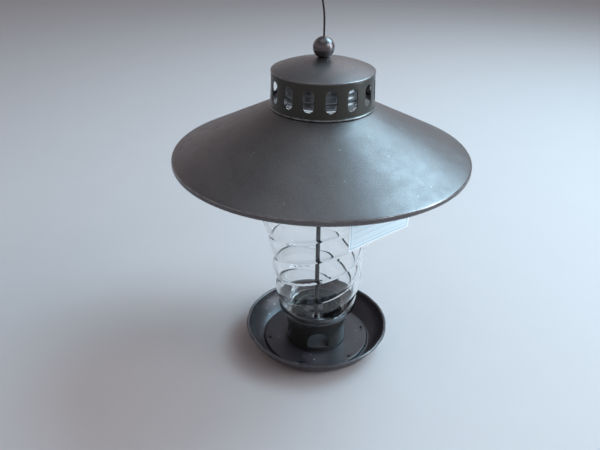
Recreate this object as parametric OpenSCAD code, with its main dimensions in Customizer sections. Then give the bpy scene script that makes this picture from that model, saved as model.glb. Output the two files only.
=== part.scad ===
// Hanging seed feeder: a swirled glass jar stands in a ported collar on a round tray,
// under a wide conical roof with a vented collar. A centre rod ties tray, jar and roof
// together, and a ball finial threaded on its top end holds the hanging wire.
// Millimetres. +Z is up, the origin is on the axis at the surface the tray stands on,
// and the front, where the first port and the card face, is -Y.

/* [Tray] */
// Diameter of the tray over its rolled lip
tray_d = 160.4; // [130:0.2:200]
// Height of the top of the lip above the ground
tray_h = 23.5; // [16:0.5:30]
// Width of the tray's rising wall, from the foot ring to the middle of the lip
wall_w = 16.2; // [10:0.1:24]
// Width of the foot ring that the tray stands on
foot_w = 2.2; // [2:0.2:4]
// Height by which the floor stands above the foot ring
floor_step = 3; // [1:0.1:5]
// Diameter of the rolled wire in the lip
lip_d = 3.4; // [2.6:0.2:5]
// Thickness of the pressed sheet of tray and collar
sheet_t = 1; // [0.8:0.1:1.4]
// Diameter of each drain hole
drain_d = 3; // [2:0.5:6]
// Number of drain holes
drain_count = 6; // [3:1:12]
// Distance of the drain holes' middles from the floor's edge
drain_inset = 6; // [4:0.5:12]
// Turn of the first drain hole from the front, towards the right
drain_turn = -17; // [-30:1:30]
// Diameter of the raised hub over the bottom nut
hub_d = 24; // [20:1:32]
// Height of the hub above the tray's floor
hub_h = 6.6; // [6.4:0.1:9]

/* [Base collar] */
// Outside diameter of the collar that the jar stands in
collar_d = 68; // [54:0.5:78]
// Depth by which the jar's foot stands in the collar
foot_grip = 7.1; // [5:0.1:10]
// Number of seed ports
port_count = 4; // [3:1:5]
// Width of a seed port
port_w = 24; // [18:0.5:26]
// Height of a seed port, to the crown of its arch
port_h = 19.6; // [18:0.2:22]
// Height of the port's sill above the tray's floor
port_sill = 5.2; // [3:0.2:6]
// Turn of the first port from the front, towards the right
port_turn = 5; // [-30:1:30]
// Width of the ring that the foot gasket rests on
seat_w = 4.2; // [3.5:0.1:5]

/* [Seed cone] */
// Height of the cone's flat top above the tray's floor
cone_h = 20.1; // [17:0.1:24]
// Diameter of the cone's flat top
cone_top_d = 12; // [11:0.5:16]
// Thickness of the cone's sheet
cone_t = 0.8; // [0.6:0.1:1.2]

/* [Glass jar] */
// Height of the glass from foot to mouth
jar_h = 273.9; // [228:1:340]
// Diameter of the bowl just above the collar
bowl_d = 87; // [80:1:98]
// Height over which the glass turns out from foot to bowl
bowl_turn_h = 18; // [7:0.2:24]
// Greatest mean diameter of the jar
belly_d = 131.6; // [116:1:140]
// Height of the greatest diameter above the foot
belly_h = 169; // [155:1:180]
// Diameter of the neck at its root
neck_d = 68; // [62:1:74]
// Diameter of the mouth
mouth_d = 63; // [52:0.5:70]
// Height of the neck
neck_h = 36; // [30:1:42]
// Mean thickness of the glass
glass_t = 3; // [2.6:0.1:4]
// Number of swirl grooves that start round the jar
swirl_starts = 3; // [2:1:5]
// Height between one groove and the next
swirl_pitch = 28; // [22:1:34]
// Depth of a groove below the crown of the swirl
swirl_depth = 3.2; // [1:0.1:3.6]
// Height above the foot at which a groove crosses the right-hand side
swirl_start_h = 2.6; // [0:0.1:28]
// Number of beads round the neck
bead_count = 4; // [2:1:5]
// Height of a neck bead above the root between two beads
bead_h = 1.2; // [0.4:0.1:1.6]

/* [Gaskets] */
// Thickness of the gasket under the jar's foot
foot_gasket_t = 1.6; // [1.5:0.1:3]
// Thickness of the gasket on the jar's mouth
mouth_gasket_t = 2.4; // [1.5:0.1:3.5]

/* [Rod and fixings] */
// Diameter of the centre rod
rod_d = 4.8; // [4:0.05:6]
// Height of the rod's lower end above the ground
rod_foot = 1.8; // [1.6:0.1:2.4]
// Length of rod thread held in the finial
rod_grip = 8; // [6:0.5:9]
// Pitch of the rod's thread
thread_pitch = 0.8; // [0.7:0.05:1]
// Width across the flats of the nuts
nut_af = 8; // [7:0.5:10]
// Height of a nut
nut_h = 3.8; // [3:0.1:4]
// Diameter of the washer under the hub
base_washer_d = 13; // [10:0.5:16]
// Thickness of the washers
washer_t = 0.8; // [0.6:0.1:1]

/* [Roof] */
// Diameter of the roof over its hem
roof_d = 292; // [240:2:360]
// Rise of the roof's slope from hem to vent collar
roof_rise = 47.3; // [40:0.2:60]
// Height of the hem
hem_h = 5.1; // [4:0.2:8]
// Radius of the bend between hem and slope
hem_bend = 1.8; // [1:0.1:2.6]
// Diameter of the wire rolled into the hem
hem_wire_d = 3; // [2:0.2:4]
// Thickness of the roof's sheet
roof_t = 1; // [0.8:0.1:1.4]
// Height of the neck that the vent collar fits over
roof_neck_h = 5; // [3:0.5:6]

/* [Vent collar] */
// Diameter of the vent collar at its foot
vent_foot_d = 99.6; // [96:0.4:110]
// Loss of diameter from its foot to its top
vent_taper = 2.6; // [0:0.2:6]
// Height of the vent collar
vent_h = 32.6; // [31:0.2:40]
// Diameter of the bead round its foot
vent_bead_d = 1.8; // [1.2:0.2:2.4]
// Number of vent slots
slot_count = 15; // [9:1:17]
// Width of a vent slot
slot_w = 10.2; // [7:0.5:12]
// Height of the plain band above the slots
slot_cover = 4.7; // [3:0.2:7]
// Height of the lower end of the slots above the collar's foot
slot_sill = 7.2; // [6.6:0.2:8]
// Turn of the first slot from the front, towards the right
slot_turn = 9.5; // [-12:0.5:12]

/* [Lid and cap] */
// Thickness of the lid plate and its ring
lid_t = 1; // [0.8:0.1:1.4]
// Height of the lid plate's turned-up edge in the vent collar
lid_edge_h = 3.5; // [3:0.1:4]
// Height by which that edge stands up into the cap
lid_lap = 0.5; // [0.3:0.1:0.6]
// Depth of the ring that centres the roof on the jar's neck
mouth_ring_h = 24; // [12:0.5:28]
// Number of ribs rolled round that ring
ring_rib_count = 4; // [2:1:5]
// Height by which the ribs stand out
ring_rib_h = 0.7; // [0.4:0.1:0.8]
// Width of the mouth ring's flange
mouth_ring_flange = 4.5; // [3:0.5:6]
// Rise of the domed cap
dome_rise = 11.3; // [8:0.2:16]
// Height of the cap's upright edge
dome_edge_h = 1.2; // [1:0.1:2]
// Overhang of the cap past the vent collar
dome_overhang = 0.4; // [0.2:0.1:0.8]
// Thickness of the cap's sheet
dome_t = 1; // [0.8:0.1:1.4]

/* [Finial] */
// Diameter of the ball
ball_d = 20; // [17:0.5:24]
// Depth of the flat under the ball
ball_flat = 1.1; // [0.8:0.1:1.6]
// Diameter of the washer under the ball
finial_washer_d = 12.4; // [10:0.2:16]
// Gap in the ball between the rod's end and the wire's ferrule
rod_end_gap = 0.9; // [0.3:0.1:2]

/* [Hanger] */
// Diameter of the hanging wire
wire_d = 1.8; // [1.4:0.1:2.2]
// Length of straight wire above the ball
wire_straight = 12; // [6:1:20]
// Radius of the bends that bow the wire
bow_bend = 88; // [60:2:120]
// Radius of the bend at the crown of the bow
bow_crown = 60; // [40:2:90]
// Angle by which the wire leaves the upright
bow_angle = 17; // [8:1:24]
// Inside diameter of the hanging eye
eye_d = 16.2; // [12:0.2:24]
// Radius of the bends that open the eye
eye_root = 8; // [5:0.5:12]
// Diameter of the ferrule held in the ball
ferrule_d = 4.4; // [3.8:0.1:4.5]
// Height of the ferrule held in the ball
ferrule_h = 3; // [2:0.1:3.2]
// Length of the crimp sleeve under the eye
sleeve_h = 10; // [7:0.5:14]
// Thickness of the crimp sleeve's wall
sleeve_t = 0.8; // [0.6:0.1:1.2]
// Length of the wire's tail past the sleeve
tail_h = 2; // [1:0.5:4]

/* [Card] */
// Length of the paper card
card_w = 84; // [60:1:90]
// Height of the paper card
card_h = 50; // [40:1:60]
// Thickness of the paper card
card_t = 0.5; // [0.3:0.1:1]
// Turn of the card's face from the front, towards the right
card_turn = 42.5; // [0:1:60]
// Shift of the card's middle past the line where it touches the glass
card_shift = 19.7; // [10:0.5:30]
// Height of the card's lower edge above the ground
card_z = 153.7; // [120:1:165]

/* [Fits] */
// Clearance of a part that drops into or over another
slip = 0.1; // [0.05:0.01:0.2]
// Clearance of a running thread, pin or wire
running = 0.05; // [0.03:0.01:0.1]
// Clearance round a shaft that passes through freely
clear = 0.5; // [0.3:0.05:0.8]
// Gap at a soft or lifting seat
seat_gap = 0.3; // [0.1:0.05:0.5]
// Side play of the roof on the jar's mouth
roof_play = 0.8; // [0.6:0.1:1.6]
// Side play of the jar's foot in the collar
foot_play = 0.9; // [0.6:0.1:1.5]

/* [Hidden] */
$fn = 96;

bronze = "#3f3630";
olive_bronze = "#4a443a";
gloss_black = "#1d1a1c";
zinc = "#a9adb0";
rubber = "#2a2a2a";
wire_grey = "#3b3836";
paper = "#dcecf2";

// Heights, from the ground up
floor_top = floor_step + sheet_t;
hub_top = floor_top + hub_h;
cone_foot_z = floor_top + sheet_t + slip;
cone_top_z = floor_top + cone_h;
seat_z = floor_top + port_sill + port_h + 0.6;
jar_z = seat_z + sheet_t + foot_gasket_t;
collar_top_z = jar_z + foot_grip;
mouth_z = jar_z + jar_h;
lid_z = mouth_z + mouth_gasket_t + seat_gap;
vent_top_z = lid_z + lid_edge_h;
vent_foot_z = vent_top_z - vent_h;
slope_top_z = vent_foot_z - slip;
hem_top_z = slope_top_z - roof_rise;
hem_z = hem_top_z - hem_h;
dome_edge_z = vent_top_z + slip;
dome_top_z = dome_edge_z + dome_rise;
finial_z = dome_top_z + washer_t + 2 * slip;
ball_z = finial_z - ball_flat + ball_d / 2;
rod_top_z = finial_z + rod_grip;
ferrule_z = rod_top_z + rod_end_gap;
bore_top_z = ferrule_z + ferrule_h + slip;
ball_top_z = ball_z + ball_d / 2;

// Radii
collar_r = collar_d / 2;
collar_in_r = collar_r - sheet_t;
vent_top_d = vent_foot_d - vent_taper;
rod_r = rod_d / 2;
wire_r = wire_d / 2;
rod_hole_r = rod_r + clear;
neck_r = neck_d / 2;
mouth_r = mouth_d / 2;
belly_r = belly_d / 2;
bowl_r = bowl_d / 2;
foot_r = collar_in_r - foot_play;
nut_r = nut_af / sqrt(3);

// Heights on the glass, from its foot up
foot_h = foot_grip + clear;
bowl_h = foot_h + bowl_turn_h;
neck_z = jar_h - neck_h;
bead_pitch = (neck_h - 3) / bead_count;

// Grid of the glass: a groove climbs by one row at every step round the jar
swirl_rows = round(33 / swirl_starts);
glass_sides = swirl_starts * swirl_rows;
row_h = swirl_pitch / swirl_rows;

// ---------- shapes that several parts share ----------

// Points of an arc about c, from angle a0 to a1 in n steps
function arc(c, r, a0, a1, n) =
    [for (i = [0:n]) let (a = a0 + (a1 - a0) * i / n) c + r * [cos(a), sin(a)]];

// Unit normal on the left of the line from p to q
function left_of(p, q) = let (d = (q - p) / norm(q - p)) [-d[1], d[0]];

// A path's point i, moved t to the left, mitred between its two lines
function moved(path, i, t) =
    let (
        last = len(path) - 1,
        before = left_of(path[max(i - 1, 0)], path[max(i, 1)]),
        after = left_of(path[min(i, last - 1)], path[min(i + 1, last)]),
        m = (before + after) / 2
    )
    path[i] + t * m / (m * m);

// Outline of a sheet of thickness t that lies on the left of a path
function sheet(path, t) =
    concat(path, [for (i = [len(path) - 1:-1:0]) moved(path, i, t)]);

// A flat ring
module ring(r_in, r_out, h) {
    difference() {
        cylinder(r = r_out, h = h);
        translate([0, 0, -1]) cylinder(r = r_in, h = h + 2);
    }
}

// Places its child at a turn from the front towards the right, its +X pointing outwards
module at_turn(turn) {
    rotate([0, 0, turn - 90]) children();
}

// A hexagon nut that stands on the rod
module hex_nut() {
    difference() {
        intersection() {
            cylinder(r = nut_r, h = nut_h, $fn = 6);
            // Chamfered corners at both ends
            translate([0, 0, nut_h / 2]) sphere(r = norm([nut_r, nut_h / 2]) - 0.35);
        }
        translate([0, 0, -1]) cylinder(r = rod_r + running, h = nut_h + 2);
    }
}

// ---------- tray, collar and what stands in them ----------

// Underside of the tray: hub, floor, foot ring and the saucer's wall
lip_r = lip_d / 2;
floor_r = tray_d / 2 - lip_r - wall_w - foot_w;
wall_foot = [floor_r + foot_w, 0];
wall_top = [tray_d / 2 - lip_r - 0.1, tray_h - lip_d + 0.9];
wall_turn = 46;
wall_slope = atan2((wall_top - wall_foot)[1], (wall_top - wall_foot)[0]) - wall_turn / 2;
wall_bend = norm(wall_top - wall_foot) / (2 * sin(wall_turn / 2));
wall_centre = wall_foot + wall_bend * [-sin(wall_slope), cos(wall_slope)];
tray_under = concat(
    [
        [rod_hole_r, hub_top - sheet_t],
        [hub_d / 2, hub_top - sheet_t],
        [hub_d / 2 + hub_h / 3, floor_step],
        [floor_r - 1, floor_step],
        [floor_r, 0]
    ],
    arc(wall_centre, wall_bend, wall_slope - 90, wall_slope + wall_turn - 90, 9)
);

module tray() {
    color(bronze)
    difference() {
        union() {
            rotate_extrude() polygon(sheet(tray_under, sheet_t));
            rotate_extrude() translate([tray_d / 2 - lip_r, tray_h - lip_r]) circle(r = lip_r);
        }
        for (i = [0:drain_count - 1])
            at_turn(drain_turn + i * 360 / drain_count)
                translate([floor_r - drain_inset, 0, 0]) cylinder(d = drain_d, h = tray_h);
    }
}

// An arched opening through the collar's wall, along +X
module port() {
    arch_r = port_w / 2;
    arch_z = port_h - arch_r;
    translate([collar_r / 2, 0, floor_top + port_sill])
        rotate([90, 0, 90]) linear_extrude(height = collar_r) {
            translate([0, arch_z]) circle(r = arch_r);
            translate([-arch_r, 0]) square([port_w, arch_z]);
        }
}

module base_collar() {
    flange_r = collar_in_r - 3.5;
    wall = [[flange_r, floor_top], [collar_r, floor_top], [collar_r, collar_top_z]];
    color(gloss_black)
    difference() {
        rotate_extrude() polygon(sheet(wall, sheet_t));
        for (i = [0:port_count - 1]) at_turn(port_turn + i * 360 / port_count) port();
    }
}

module seed_cone() {
    under = [
        [rod_hole_r, cone_top_z - cone_t],
        [cone_top_d / 2, cone_top_z - cone_t],
        [collar_in_r - 1, cone_foot_z]
    ];
    color(gloss_black) rotate_extrude() polygon(sheet(under, cone_t));
}

module cone_nut() {
    color(zinc) translate([0, 0, cone_top_z + slip]) hex_nut();
}

module jar_seat() {
    color(gloss_black)
    translate([0, 0, seat_z]) ring(collar_in_r - slip - seat_w, collar_in_r - slip, sheet_t);
}

module foot_gasket() {
    color(rubber)
    translate([0, 0, seat_z + sheet_t])
        ring(collar_in_r - slip - seat_w, collar_in_r - slip, foot_gasket_t);
}

// ---------- glass jar ----------

// Key points of the mean outline, from the bowl to the neck: [height above the foot, radius]
jar_keys = [
    [bowl_h, bowl_r],
    [bowl_h + 0.22 * (belly_h - bowl_h), bowl_r + 0.17 * (belly_r - bowl_r)],
    [bowl_h + 0.44 * (belly_h - bowl_h), bowl_r + 0.31 * (belly_r - bowl_r)],
    [bowl_h + 0.64 * (belly_h - bowl_h), bowl_r + 0.6 * (belly_r - bowl_r)],
    [bowl_h + 0.82 * (belly_h - bowl_h), bowl_r + 0.88 * (belly_r - bowl_r)],
    [belly_h, belly_r],
    [belly_h + 0.4 * (neck_z - belly_h), belly_r - 0.14 * (belly_r - neck_r)],
    [belly_h + 0.72 * (neck_z - belly_h), belly_r - 0.56 * (belly_r - neck_r)],
    [neck_z, neck_r]
];

// Slope of the outline at key i, level at the belly
function key_slope(i) =
    let (last = len(jar_keys) - 1, a = jar_keys[max(i - 1, 0)], b = jar_keys[min(i + 1, last)])
    jar_keys[i][0] == belly_h ? 0 : (b[1] - a[1]) / (b[0] - a[0]);

// A cubic through two keys
function cubic(i, h) =
    let (
        a = jar_keys[i], b = jar_keys[i + 1],
        w = b[0] - a[0], t = (h - a[0]) / w
    )
    a[1] * (1 + 2 * t) * pow(1 - t, 2) + b[1] * t * t * (3 - 2 * t)
    + w * key_slope(i) * t * pow(1 - t, 2) - w * key_slope(i + 1) * t * t * (1 - t);

function key_below(h) = len([for (k = jar_keys) if (k[0] <= h) 1]) - 1;

// Mean radius of the glass at a height above the foot
function jar_r(h) =
    h <= foot_h ? foot_r
    : h < bowl_h ? foot_r + (bowl_r - foot_r) * sqrt(1 - pow((bowl_h - h) / bowl_turn_h, 2))
    : h >= neck_z ? neck_r + (mouth_r - neck_r) * (h - neck_z) / neck_h
    : cubic(min(key_below(h), len(jar_keys) - 2), h);

// Share of the full swirl at a height: it fades out at the bowl and at the shoulder
function swirl_share(h) =
    lookup(h, [
        [foot_h, 0], [bowl_h, 0.3], [bowl_h + 2 * swirl_pitch, 1],
        [belly_h + 12, 1], [neck_z - 6, 0], [jar_h, 0]
    ]);

// How far the glass stands out or in at a turn and a height: round swells, sharp grooves
function swirl(a, h) =
    swirl_share(h) * swirl_depth
    * (abs(sin(180 * ((h - swirl_start_h) / swirl_pitch - swirl_starts * a / 360))) - 0.64);

// Beads round the neck
function bead(h) =
    h < neck_z + 1 || h > jar_h - 2 ? 0 : bead_h * abs(sin(180 * (h - neck_z - 1) / bead_pitch));

function skin_point(a, h) =
    let (r = jar_r(h) + swirl(a, h) + bead(h)) [r * cos(a), r * sin(a), h];

// Radius of the bore: it keeps clear of the skin beside, above and below
function bore_r(h) = min(jar_r(h), jar_r(h - glass_t), jar_r(h + glass_t)) - glass_t;
function bore_point(a, h) = [bore_r(h) * cos(a), bore_r(h) * sin(a), h];

// Heights of the rings of the skin, close together on the swirl, and of the bore
first_row = ceil((bowl_h + 0.5 - swirl_start_h) / row_h);
last_row = floor((neck_z - 3 - swirl_start_h) / row_h);
fade_row = min(ceil((belly_h + 26 - swirl_start_h) / row_h), last_row);
skin_rings = concat(
    [0, foot_h],
    [for (k = [1:5]) bowl_h - bowl_turn_h * cos(k * 17)],
    [for (k = [first_row:fade_row - 1]) swirl_start_h + k * row_h],
    [for (k = [fade_row:2:last_row]) swirl_start_h + k * row_h],
    [for (h = [neck_z + 1:bead_pitch / 4:jar_h - 1.9]) h],
    [jar_h - 0.8, jar_h]
);
bore_bowl_h = bowl_h + glass_t;
bore_rings = concat(
    [0, foot_h + glass_t],
    [for (k = [1:5]) bore_bowl_h - bowl_turn_h * cos(k * 17)],
    [for (i = [0:12]) bore_bowl_h + (neck_z - bore_bowl_h) * i / 12],
    [jar_h]
);

// The skin is read upwards and the bore downwards, so that the rings close into one shell
glass_rings = len(skin_rings) + len(bore_rings);
glass_points = concat(
    [for (h = skin_rings) for (j = [0:glass_sides - 1]) skin_point(j * 360 / glass_sides, h)],
    [
        for (i = [len(bore_rings) - 1:-1:0]) for (j = [0:glass_sides - 1])
            bore_point(j * 360 / glass_sides, bore_rings[i])
    ]
);
glass_faces = [
    for (i = [0:glass_rings - 1], j = [0:glass_sides - 1])
        let (
            next_i = (i + 1) % glass_rings, next_j = (j + 1) % glass_sides,
            a = i * glass_sides + j, b = i * glass_sides + next_j,
            c = next_i * glass_sides + next_j, d = next_i * glass_sides + j
        )
        each [[a, c, b], [a, d, c]]
];

module glass_jar() {
    color("#cfe0e4", 0.45)
    translate([0, 0, jar_z]) polyhedron(points = glass_points, faces = glass_faces);
}

module mouth_gasket() {
    color(rubber)
    translate([0, 0, mouth_z]) ring(mouth_r - glass_t, mouth_r, mouth_gasket_t);
}

// ---------- rod and fixings ----------

module centre_rod() {
    chamfer = 0.6;
    color(zinc)
    translate([0, 0, rod_foot]) {
        cylinder(r1 = rod_r - chamfer, r2 = rod_r, h = chamfer);
        translate([0, 0, chamfer]) cylinder(r = rod_r, h = rod_top_z - rod_foot - 2 * chamfer);
        translate([0, 0, rod_top_z - rod_foot - chamfer])
            cylinder(r1 = rod_r, r2 = rod_r - chamfer, h = chamfer);
    }
}

module base_washer() {
    color(zinc)
    translate([0, 0, hub_top - sheet_t - slip - washer_t])
        ring(rod_r + slip, base_washer_d / 2, washer_t);
}

module base_nut() {
    color(zinc) translate([0, 0, hub_top - sheet_t - 2 * slip - washer_t - nut_h]) hex_nut();
}

// ---------- roof ----------

// Radius of the vent collar's outside at a height
function vent_r(z) =
    (vent_foot_d + (vent_top_d - vent_foot_d) * (z - vent_foot_z) / vent_h) / 2;

module roof_cone() {
    neck_top_z = vent_foot_z + roof_neck_h;
    slope = atan2(roof_rise, (roof_d - vent_foot_d) / 2);
    bend_centre = [roof_d / 2 - hem_bend, hem_top_z - hem_bend * tan((90 - slope) / 2)];
    outside = concat(
        [[roof_d / 2, hem_z + hem_wire_d / 2]],
        arc(bend_centre, hem_bend, 0, 90 - slope, 5),
        [
            [vent_foot_d / 2, slope_top_z],
            [vent_r(neck_top_z) - roof_t - slip, slope_top_z],
            [vent_r(neck_top_z) - roof_t - slip, neck_top_z]
        ]
    );
    color(bronze) {
        rotate_extrude() polygon(sheet(outside, roof_t));
        rotate_extrude() translate([(roof_d - hem_wire_d) / 2, hem_z + hem_wire_d / 2])
            circle(d = hem_wire_d);
    }
}

// A round-ended slot through the vent collar's wall, along +X
module slot() {
    end_r = slot_w / 2;
    straight = vent_h - slot_sill - slot_cover - slot_w;
    translate([0.8 * vent_top_d / 2, 0, vent_foot_z + slot_sill + end_r])
        rotate([90, 0, 90]) linear_extrude(height = vent_foot_d / 4) {
            for (y = [0, straight]) translate([0, y]) circle(r = end_r);
            translate([-end_r, 0]) square([slot_w, straight]);
        }
}

module vent_collar() {
    wall = [[vent_foot_d / 2, vent_foot_z], [vent_top_d / 2, vent_top_z]];
    color(olive_bronze)
    difference() {
        union() {
            rotate_extrude() polygon(sheet(wall, roof_t));
            rotate_extrude() translate([vent_foot_d / 2 + 0.2, vent_foot_z + vent_bead_d / 2])
                circle(d = vent_bead_d);
        }
        for (i = [0:slot_count - 1]) at_turn(slot_turn + i * 360 / slot_count) slot();
    }
}

module lid_plate() {
    edge_r = vent_top_d / 2 - roof_t - slip;
    under = [[rod_hole_r, lid_z], [edge_r, lid_z], [edge_r, vent_top_z + lid_lap]];
    color(bronze) rotate_extrude() polygon(sheet(under, lid_t));
}

// The ring clears the widest bead that it reaches down to
module mouth_ring() {
    ring_depth = mouth_ring_h - mouth_gasket_t - seat_gap;
    mouth_ring_r = max(mouth_r, jar_r(jar_h - ring_depth)) + bead_h + roof_play;
    skirt = [
        [mouth_ring_r + mouth_ring_flange, lid_z],
        [mouth_ring_r, lid_z],
        [mouth_ring_r, lid_z - mouth_ring_h]
    ];
    rib_pitch = (mouth_ring_h - lid_t) / ring_rib_count;
    color(bronze) {
        rotate_extrude() polygon(sheet(skirt, lid_t));
        for (i = [0:ring_rib_count - 1]) rotate_extrude()
            translate([mouth_ring_r + lid_t / 2, lid_z - lid_t - (i + 0.5) * rib_pitch])
                circle(r = lid_t / 2 + ring_rib_h);
    }
}

module dome_cap() {
    edge_r = vent_top_d / 2 + dome_overhang;
    bulge = dome_rise - dome_edge_h;
    dome_r = (edge_r * edge_r + bulge * bulge) / (2 * bulge);
    color(bronze)
    difference() {
        intersection() {
            translate([0, 0, dome_top_z - dome_r]) sphere(r = dome_r);
            translate([0, 0, dome_edge_z]) cylinder(r = edge_r, h = 2 * dome_rise);
        }
        intersection() {
            translate([0, 0, dome_top_z - dome_r]) sphere(r = dome_r - dome_t);
            translate([0, 0, dome_edge_z - 1]) cylinder(r = edge_r - dome_t, h = 2 * dome_rise);
        }
        translate([0, 0, dome_edge_z]) cylinder(r = rod_hole_r, h = 2 * dome_rise);
    }
}

module finial_washer() {
    color(bronze)
    translate([0, 0, dome_top_z + slip]) ring(rod_r + clear, finial_washer_d / 2, washer_t);
}

// ---------- finial and hanger ----------

module ball_finial() {
    color(bronze)
    difference() {
        translate([0, 0, ball_z]) sphere(d = ball_d);
        translate([0, 0, finial_z - ball_d]) cylinder(d = ball_d, h = ball_d);
        translate([0, 0, finial_z - 1])
            cylinder(r = rod_r + running, h = bore_top_z - finial_z + 1);
        translate([0, 0, bore_top_z - 1]) cylinder(r = wire_r + 2 * slip, h = ball_d);
    }
}

module wire_ferrule() {
    color(zinc)
    translate([0, 0, ferrule_z]) ring(wire_r + running, ferrule_d / 2, ferrule_h);
}

// Lean at which the wire opens into the eye, so that its tail comes back beside it
strand_gap = wire_d + 2 * slip;
eye_r = (eye_d + wire_d) / 2;
eye_lean = acos((strand_gap / 2 + eye_root) / (eye_r + eye_root));
stem_h = sleeve_h + 2 * wire_d;

// The wire's run after the ball, as [radius, turn to the left, straight after it]
wire_run = [
    [bow_bend, bow_angle, 0], [bow_crown, -2 * bow_angle, 0], [bow_bend, bow_angle, stem_h],
    [eye_root, -eye_lean, 0], [eye_r, 180 + 2 * eye_lean, 0],
    [eye_root, -eye_lean, wire_d + sleeve_h + tail_h]
];
bow_z = ball_top_z + wire_straight;

// A place on the wire moved forward along its lean: [x, z, lean to the left]
function ahead(p, length) = [p[0] - length * sin(p[2]), p[1] + length * cos(p[2]), p[2]];

// Where bend n of the wire starts, and where it ends
function bend_start(n) = n == 0 ? [0, bow_z, 0] : ahead(bend_end(n - 1), wire_run[n - 1][2]);
function bend_end(n) =
    let (
        p = bend_start(n), r = sign(wire_run[n][1]) * wire_run[n][0],
        lean = p[2] + wire_run[n][1]
    )
    [p[0] - r * (cos(p[2]) - cos(lean)), p[1] + r * (sin(lean) - sin(p[2])), lean];

// Puts its child on the wire at p, its +Z along the wire
module on_wire(p) {
    translate([p[0], 0, p[1]]) rotate([0, -p[2], 0]) children();
}

// One bend that starts upright at the origin and turns to the left
module wire_bend(bend, turn) {
    mirror([turn < 0 ? 1 : 0, 0, 0])
        translate([-bend, 0, 0]) rotate([90, 0, 0])
            rotate_extrude(angle = abs(turn)) translate([bend, 0]) circle(r = wire_r);
}

module hanger_wire() {
    joint_r = wire_r + 0.02;
    color(wire_grey) {
        translate([0, 0, ferrule_z]) cylinder(r = wire_r, h = bow_z - ferrule_z);
        for (n = [0:len(wire_run) - 1])
            let (bend = wire_run[n]) {
                on_wire(bend_start(n)) wire_bend(bend[0], bend[1]);
                if (bend[2] > 0) on_wire(bend_end(n)) cylinder(r = wire_r, h = bend[2]);
                // A hair of a bead where two stretches of wire meet
                on_wire(bend_start(n)) sphere(r = joint_r);
                if (bend[2] > 0) on_wire(bend_end(n)) sphere(r = joint_r);
            }
    }
}

// Two strands side by side, as one rounded bar of the given radius
module strands(r, h) {
    for (x = [-strand_gap, 0]) translate([x, 0, 0]) cylinder(r = r, h = h);
    translate([-strand_gap, -r, 0]) cube([strand_gap, 2 * r, h]);
}

module eye_sleeve() {
    hole_r = wire_r + running;
    color(zinc)
    translate([0, 0, bend_start(3)[1] - wire_d - sleeve_h])
        difference() {
            strands(hole_r + sleeve_t, sleeve_h);
            translate([0, 0, -1]) strands(hole_r, sleeve_h + 2);
        }
}

// ---------- card ----------

// How far the glass reaches towards the card at the card's heights
glass_reach = max([
    for (p = glass_points)
        if (abs(p[2] + jar_z - card_z - card_h / 2) <= card_h / 2)
            p[0] * sin(card_turn) - p[1] * cos(card_turn)
]);

module paper_card() {
    color(paper)
    at_turn(card_turn)
        translate([glass_reach + seat_gap, card_shift - card_w / 2, card_z])
            cube([card_t, card_w, card_h]);
}

tray();
base_collar();
seed_cone();
cone_nut();
jar_seat();
foot_gasket();
glass_jar();
mouth_gasket();
centre_rod();
base_washer();
base_nut();
roof_cone();
vent_collar();
lid_plate();
mouth_ring();
dome_cap();
finial_washer();
ball_finial();
wire_ferrule();
hanger_wire();
eye_sleeve();
paper_card();
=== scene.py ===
"""Looks of the hanging seed feeder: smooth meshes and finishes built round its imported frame.

Lengths in this file are millimetres, and become metres when a mesh is made. +Z is up along the
centre rod, -Y is the front, +X is the right-hand side, and turns are degrees from the front
towards the right. A skin's outside lies on the right of the path that it is made from.
"""

import logging
import math
from dataclasses import dataclass
from enum import Enum
from functools import cache, cached_property
from statistics import mean
from typing import Callable, Mapping, Sequence

import bmesh
import bpy
from mathutils import Matrix, Vector


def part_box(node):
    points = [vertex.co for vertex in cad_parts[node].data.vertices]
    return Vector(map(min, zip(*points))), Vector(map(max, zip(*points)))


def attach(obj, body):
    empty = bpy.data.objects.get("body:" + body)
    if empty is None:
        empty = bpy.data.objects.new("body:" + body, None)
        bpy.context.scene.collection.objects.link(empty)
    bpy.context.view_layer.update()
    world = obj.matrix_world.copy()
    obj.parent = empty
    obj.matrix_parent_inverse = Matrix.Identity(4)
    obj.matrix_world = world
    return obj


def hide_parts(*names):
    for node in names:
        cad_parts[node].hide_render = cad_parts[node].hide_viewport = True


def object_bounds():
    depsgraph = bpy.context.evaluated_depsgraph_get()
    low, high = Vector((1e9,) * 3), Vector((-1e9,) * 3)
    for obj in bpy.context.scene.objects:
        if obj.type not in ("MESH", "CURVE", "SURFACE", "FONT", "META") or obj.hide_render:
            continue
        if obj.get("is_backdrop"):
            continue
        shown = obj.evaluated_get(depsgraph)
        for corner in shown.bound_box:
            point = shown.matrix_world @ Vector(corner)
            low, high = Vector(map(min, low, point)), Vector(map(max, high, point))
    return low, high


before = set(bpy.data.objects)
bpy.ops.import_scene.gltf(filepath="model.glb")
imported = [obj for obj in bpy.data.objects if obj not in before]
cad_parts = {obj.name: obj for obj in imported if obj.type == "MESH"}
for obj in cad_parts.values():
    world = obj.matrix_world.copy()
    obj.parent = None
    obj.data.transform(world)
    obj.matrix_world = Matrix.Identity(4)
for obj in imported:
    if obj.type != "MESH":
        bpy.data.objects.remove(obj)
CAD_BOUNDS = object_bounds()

Point = tuple[float, float]
Vertex = tuple[float, float, float]
Face = tuple[int, ...]
Colour = tuple[float, float, float]
Piece = bpy.types.Object
Material = bpy.types.Material
Socket = bpy.types.NodeSocket

LOG = logging.getLogger("feeder")
MM = 0.001

# What counts as nothing in a sum or between points, and the least angle in radians between the
# rays of a cutout
NIL = 1e-6
LEAST_TURN = 1e-4

# What a mesh holds at its points: the place on the card, and how far it bends outwards, where a
# fold of so many radians counts as a full bend
CARD_PLACE = "card_place"
BEND = "bend"
FULL_BEND = 0.17

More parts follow.
